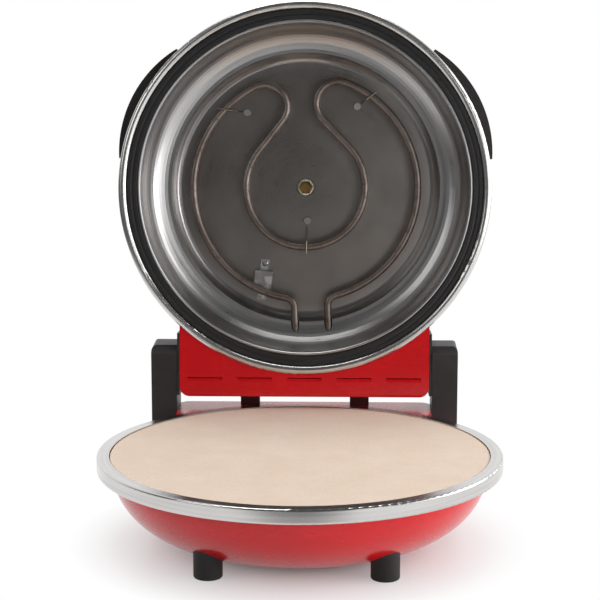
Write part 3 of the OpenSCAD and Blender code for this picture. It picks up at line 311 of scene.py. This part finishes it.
def reflector():
    """Spun dome lining: bright sides, and a floor painted darker and warmer, a painted reflection."""
    t = Tree("reflector_steel")
    coords, radius = t.rings(DOME, 1.6, 2.0)
    lines = t.noise(coords, 1.0, 6, 0.7)
    coarse, _ = t.rings(DOME, 0.25, 1.5)
    bands = t.noise(coarse, 1.0, 3)
    patch = t.noise(t.place, 12, 5, 0.6)
    drops = t.noise(t.place, 90, 5, 0.7)
    # painted reflection: inside a radius of 126 to 112 mm the dome's floor turns darker and warmer
    painted_reflection_mask = t.span(radius, 126, 112)
    steel = t.mix(t.span(bands, 0.3, 0.7), srgb(170, 169, 169), srgb(190, 189, 188))
    painted_reflection_tone = t.mix(t.span(patch, 0.35, 0.65), srgb(150, 144, 140), srgb(164, 157, 151))
    colour = t.mix(painted_reflection_mask, steel, painted_reflection_tone)
    colour = t.mix(t.span(drops, 0.6, 0.75, 0, 0.25), colour, srgb(134, 128, 122))
    level = t.math("ADD", t.span(lines, 0.3, 0.7, -0.03, 0.05), t.span(patch, 0.3, 0.7, 0.27, 0.34))
    return t.shade(
        Base_Color=colour,
        Metallic=1.0,
        Roughness=level,
        Normal=t.bump(lines, 0.00003, 0.5),
    )


def spangled():
    """Aluminised or galvanised sheet, with large crystals."""
    t = Tree("aluminised_steel")
    cells = t.add(
        "ShaderNodeSeparateColor", Color=t.voronoi(t.place, 170, output="Color")
    ).outputs[0]
    stains = t.noise(t.place, 30, 5)
    colour = t.mix(cells, srgb(178, 177, 174), srgb(202, 201, 198))
    colour = t.mix(t.span(stains, 0.55, 0.8, 0, 0.5), colour, srgb(150, 146, 140))
    return t.shade(
        Base_Color=colour,
        Metallic=1.0,
        Roughness=t.span(cells, 0, 1, 0.3, 0.46),
        Normal=t.bump(t.noise(t.place, 900, 3), 0.00003, 0.5),
    )


def matte(name, colours, rough, scale=200, grain=0.00006, spots=None):
    t = Tree(name)
    broad = t.noise(t.place, scale / 6, 4)
    fine = t.noise(t.place, scale * 5, 4, 0.65)
    colour = t.mix(t.span(broad, 0.35, 0.65), *colours)
    if spots:
        colour = t.mix(t.span(t.noise(t.place, scale, 4), 0.6, 0.7, 0, 0.6), colour, spots)
    return t.shade(
        Base_Color=colour,
        Roughness=t.span(broad, 0.3, 0.7, *rough),
        Normal=t.bump(fine, grain, 0.6),
    )


def sleeve():
    """Woven glass sleeving on the leads."""
    t = Tree("lead_sleeve")
    braid = t.add(
        "ShaderNodeTexWave", {"wave_type": "BANDS", "bands_direction": "DIAGONAL"},
        Vector=t.place, Scale=900, Distortion=2.0, Detail=2.0,
    ).outputs["Fac"]
    colour = t.mix(t.span(braid, 0.3, 0.7), srgb(196, 184, 156), srgb(222, 212, 188))
    return t.shade(
        Base_Color=colour, Roughness=t.span(braid, 0, 1, 0.8, 0.65), Normal=t.bump(braid, 0.00015, 0.7)
    )


def brushed_dial():
    t = Tree("dial_metal")
    run = t.scaled(t.place, (12, 1500, 1500))
    lines = t.noise(run, 1.0, 4, 0.7)
    colour = t.mix(t.span(lines, 0.3, 0.7), srgb(192, 192, 191), srgb(216, 216, 215))
    return t.shade(
        Base_Color=colour,
        Metallic=1.0,
        Roughness=t.span(lines, 0.3, 0.7, 0.28, 0.4),
        Normal=t.bump(lines, 0.00001, 0.6),
    )


def lens():
    t = Tree("amber_lens")
    cloud = t.noise(t.place, 400, 3)
    return t.shade(
        Base_Color=t.mix(t.span(cloud, 0.35, 0.65), srgb(226, 92, 20), srgb(240, 124, 36)),
        Roughness=t.span(cloud, 0.3, 0.7, 0.06, 0.12),
        Transmission_Weight=0.55,
        IOR=1.49,
        Normal=t.bump(t.voronoi(t.place, 1200), 0.00008, 0.4),
    )


MATERIALS = {
    "red_enamel": red_enamel(),
    "base_ring": turned_metal(
        "polished_steel", BASE, (srgb(196, 194, 192), srgb(216, 215, 213)), (0.15, 0.22), 0.00002
    ),
    "lid_ring": turned_metal(
        "polished_steel_lid", LID, (srgb(200, 198, 196), srgb(222, 221, 219)), (0.2, 0.28), 0.00004
    ),
    "reflector_steel": reflector(),
    "aluminised_steel": spangled(),
    "stone": stone(),
    "element_sheath": sheath(),
    "ceramic": matte("ceramic", (srgb(222, 216, 200), srgb(232, 228, 214)), (0.45, 0.6), 260),
    "black_plastic": plastic(
        "black_plastic", srgb(34, 32, 32), srgb(52, 50, 49), (0.4, 0.55), 2600, 0.00006
    ),
    "black_rubber": plastic(
        "black_rubber", srgb(26, 26, 26), srgb(44, 43, 42), (0.6, 0.78), 3200, 0.00005, 0.1
    ),
    "seal_black": plastic(
        "seal_black", srgb(24, 22, 24), srgb(40, 37, 38), (0.5, 0.7), 2200, 0.00005, 0.1
    ),
    "zinc_steel": plain_metal(
        "zinc_steel", (srgb(186, 186, 184), srgb(206, 206, 203)), (0.26, 0.4), 300
    ),
    "brass": plain_metal(
        "brass", (srgb(142, 112, 66), srgb(176, 144, 92)), (0.22, 0.36), 900, spots=srgb(70, 52, 34)
    ),
    "grey_steel": plain_metal(
        "grey_steel", (srgb(118, 115, 112), srgb(140, 137, 134)), (0.4, 0.58), 260,
        spots=srgb(92, 88, 84),
    ),
    "hot_wire": plain_metal(
        "hot_wire", (srgb(112, 102, 92), srgb(150, 142, 132)), (0.25, 0.4), 500, spots=srgb(66, 56, 50)
    ),
    "lead_sleeve": sleeve(),
    "maroon_plastic": plastic(
        "maroon_plastic", srgb(58, 14, 16), srgb(78, 30, 30), (0.35, 0.5), 2200, 0.00005
    ),
    "dial_metal": brushed_dial(),
    "amber_lens": lens(),
    "pointer_white": matte("pointer_white", (srgb(232, 232, 229), srgb(242, 242, 240)), (0.4, 0.5), 300),
}

OWN_FINISH = {
    "base_rim_ring": "base_ring",
    "lid_rim_ring": "lid_ring",
    "element_hooks": "hot_wire",
}
slot_of = {part["node"]: part["material_slot"] for part in frame["record"]["subparts"]}
for name, obj in frame["nodes"].items():
    obj.data.materials.clear()
    obj.data.materials.append(MATERIALS[OWN_FINISH.get(name, slot_of[name])])


# ---------- dial marks ----------
def piece(name, mesh, body, material):
    obj = bpy.data.objects.new(name, mesh)
    scene.collection.objects.link(obj)
    mesh.materials.clear()
    mesh.materials.append(material)
    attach(obj, body)
    return obj


DIAL_TICKS = 10                   # steps between the ends of the dial's scale
DIAL_FROM, DIAL_TO = 225.0, -45.0 # where the scale starts and ends, degrees
TICK_R = 27.5                     # where ticks start and numbers stand, mm from the dial's middle
NUMBER_R = 33.5
LONG_TICK = (0.45, 3.2)           # half width and length
SHORT_TICK = (0.3, 2.0)
NUMBER_SIZE = 6.0
PRINT_T = 0.05


def dial_marks():
    """Ticks printed round the knob, as one thin mesh."""
    verts, faces = [], []

    def block(corners):
        base = len(verts)
        for z in (0.0, PRINT_T):
            verts.extend((x, y, DIAL_Z + z) for x, y in corners)
        n = len(corners)
        faces.append(tuple(base + i for i in reversed(range(n))))
        faces.append(tuple(base + n + i for i in range(n)))
        for i in range(n):
            j = (i + 1) % n
            faces.append((base + i, base + j, base + n + j, base + n + i))

    for step in range(DIAL_TICKS + 1):
        angle = math.radians(DIAL_FROM + (DIAL_TO - DIAL_FROM) * step / DIAL_TICKS)
        out = Vector((math.cos(angle), math.sin(angle)))
        side = Vector((-out.y, out.x))
        half, length = LONG_TICK if step % 2 == 0 else SHORT_TICK
        corners = [
            out * TICK_R - side * half,
            out * (TICK_R + length) - side * half,
            out * (TICK_R + length) + side * half,
            out * TICK_R + side * half,
        ]
        block([(c.x, c.y) for c in corners])
    mesh = bpy.data.meshes.new("dial_marks")
    mesh.from_pydata(verts, [], faces)
    mesh.transform(DOME)
    mesh.validate()
    return mesh


def dial_number(text, angle):
    """One number of the dial, upright as read from the front of the closed oven."""
    curve = bpy.data.curves.new("number", "FONT")
    curve.body = text
    curve.size = NUMBER_SIZE
    curve.align_x = curve.align_y = "CENTER"
    curve.extrude = PRINT_T / 2
    holder = bpy.data.objects.new("number", curve)
    scene.collection.objects.link(holder)
    bpy.context.view_layer.update()
    mesh = bpy.data.meshes.new_from_object(
        holder.evaluated_get(bpy.context.evaluated_depsgraph_get())
    )
    bpy.data.objects.remove(holder)
    at = (NUMBER_R * math.cos(angle), NUMBER_R * math.sin(angle), DIAL_Z + PRINT_T / 2)
    mesh.transform(DOME @ Matrix.Translation(at))
    return mesh


ink = matte("dial_ink", (srgb(24, 24, 25), srgb(34, 34, 35)), (0.45, 0.6), 400, 0.00002)
piece("dial_marks", dial_marks(), "lid", ink)
for number in range(DIAL_TICKS // 2 + 1):
    share = 2 * number / DIAL_TICKS
    turn = math.radians(DIAL_FROM + (DIAL_TO - DIAL_FROM) * share)
    piece(f"dial_number_{number}", dial_number(str(number), turn), "lid", ink)

# ---------- floor, backdrop and light ----------
FLOOR_R = 12.0                  # half the floor's width, m
FADE_FROM, FADE_TO = 0.07, 0.2  # distance from the bowl's middle over which the floor turns white
LEFT_FRONT = (-0.95, -0.3, 0)   # towards the room's dim corner
CORNER_TURN = (0.45, 0.8)       # how far that way metal stops seeing the white floor
STAND_AT = (0.01, -0.75, 0.0)   # the dark patch of the camera's stand, as metal sees it
STAND_TURN = (0.28, 0.36)       # its soft edge, from the patch's middle
STAND_LEVEL = 0.1
ROOM_LEVEL = 0.7                # light from the room's rear wall
FRONT_LEVEL = 0.1               # and from its dim front
ROOM_TURN = (0.0, 0.5)          # where one gives way to the other, front to rear
LAMP_TARGET = (0, 0, 0.2)


def floor():
    mesh = bpy.data.meshes.new("floor")
    mesh.from_pydata(
        [(x * FLOOR_R, y * FLOOR_R, 0) for x, y in ((-1, -1), (1, -1), (1, 1), (-1, 1))],
        [],
        [(0, 1, 2, 3)],
    )
    obj = bpy.data.objects.new("floor", mesh)
    scene.collection.objects.link(obj)
    t = Tree("floor")
    diffuse = t.add(
        "ShaderNodeBsdfPrincipled", Base_Color=(0.9, 0.9, 0.9), Roughness=0.28, Specular_IOR_Level=0.35
    )
    direct = t.add("ShaderNodeLightPath").outputs["Is Camera Ray"]
    corner = t.span(
        t.vector("DOT_PRODUCT", t.place, LEFT_FRONT, "Value"), *CORNER_TURN, 1, FRONT_LEVEL
    )
    stand = t.span(t.vector("DISTANCE", t.place, STAND_AT, "Value"), *STAND_TURN, STAND_LEVEL)
    level = t.math("MAXIMUM", direct, t.math("MULTIPLY", corner, stand))
    white = t.add("ShaderNodeEmission", Color=(1, 1, 1), Strength=level)
    centre = (0, -ORIGIN_Y * MM, 0)
    away = t.vector("LENGTH", t.vector("ADD", t.place, centre), output="Value")
    fade = t.math("MULTIPLY", t.span(away, FADE_FROM, FADE_TO), t.shows_background())
    both = t.add("ShaderNodeMixShader")
    t.put(both.inputs[0], fade)
    t.links.new(diffuse.outputs[0], both.inputs[1])
    t.links.new(white.outputs[0], both.inputs[2])
    t.links.new(both.outputs[0], t.out.inputs[0])
    mesh.materials.append(t.owner)


def sky():
    """White backdrop behind the object, and a pale room that is dim towards the front."""
    t = Tree("studio", world=True)
    scene.world = t.owner
    behind = t.add("ShaderNodeSeparateXYZ", Vector=t.place).outputs["Y"]
    wall = t.mix(t.shows_background(), (ROOM_LEVEL,) * 3, (1, 1, 1))
    room = t.mix(t.span(behind, *ROOM_TURN), (FRONT_LEVEL,) * 3, wall)
    direct = t.add("ShaderNodeLightPath").outputs["Is Camera Ray"]
    background = t.add("ShaderNodeBackground", Color=t.mix(direct, room, (1, 1, 1)), Strength=1.0)
    t.links.new(background.outputs[0], t.out.inputs[0])


def lamp(name, power, size, place):
    data = bpy.data.lights.new(name, "AREA")
    data.shape = "RECTANGLE"
    data.size, data.size_y = size
    data.energy = power
    obj = bpy.data.objects.new(name, data)
    obj.location = place
    look(obj, LAMP_TARGET)
    scene.collection.objects.link(obj)


floor()
sky()
lamp("top_box", 14, (1.2, 0.8), (0.0, 0.35, 1.7))
lamp("right_box", 15, (1.2, 1.4), (1.7, 0.0, 0.8))
lamp("low_box", 7, (0.9, 0.7), (1.4, -0.7, 0.35))
lamp("left_box", 4, (0.8, 1.0), (-1.3, -0.9, 1.0))
lamp("front_box", 3, (0.6, 0.8), (0.9, -1.6, 0.5))
